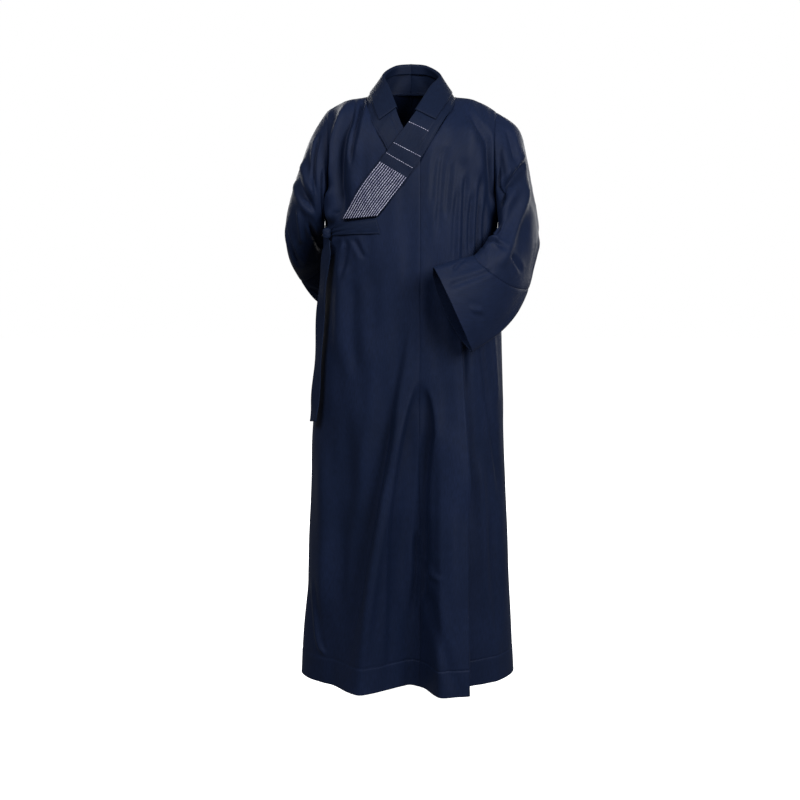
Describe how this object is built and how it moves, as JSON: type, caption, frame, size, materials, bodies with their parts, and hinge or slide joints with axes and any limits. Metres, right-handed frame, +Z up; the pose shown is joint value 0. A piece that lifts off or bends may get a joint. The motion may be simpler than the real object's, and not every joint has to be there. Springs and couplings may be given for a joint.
{
  "type": "buddhist monk robe",
  "caption": "Ankle-length cross-over monk robe as worn, with a wide stitched collar band, side tie and sleeve extensions, one arm bent in front and one behind.",
  "frame": {"origin": "middle of the neck base at shoulder height, where the wearer's shoulders hold the robe", "axes": "+Z up, -Y out of the front, +X to the wearer's left"},
  "size_m": [0.572, 0.4845, 1.3837],
  "materials": {
    "robe_cloth": "fine plain weave, dyed navy, soft satin sheen",
    "collar_cloth": "several layers of the navy cloth, pressed flat, with pale grey stitching",
    "tie_cloth": "folded strip of the navy cloth"
  },
  "bodies": {
    "root": {"back_left": "robe_cloth", "back_right": "robe_cloth", "front_left": "robe_cloth", "front_right": "robe_cloth", "front_under": "robe_cloth", "overlap": "robe_cloth", "sleeve_left": "robe_cloth", "sleeve_right": "robe_cloth", "sleeve_end_left": "robe_cloth", "sleeve_end_right": "robe_cloth", "collar_left": "collar_cloth", "collar_right": "collar_cloth", "collar_guard": "collar_cloth", "tie_front": "tie_cloth", "tie_knot": "tie_cloth", "tie_tail": "tie_cloth"}
  },
  "joints": []
}
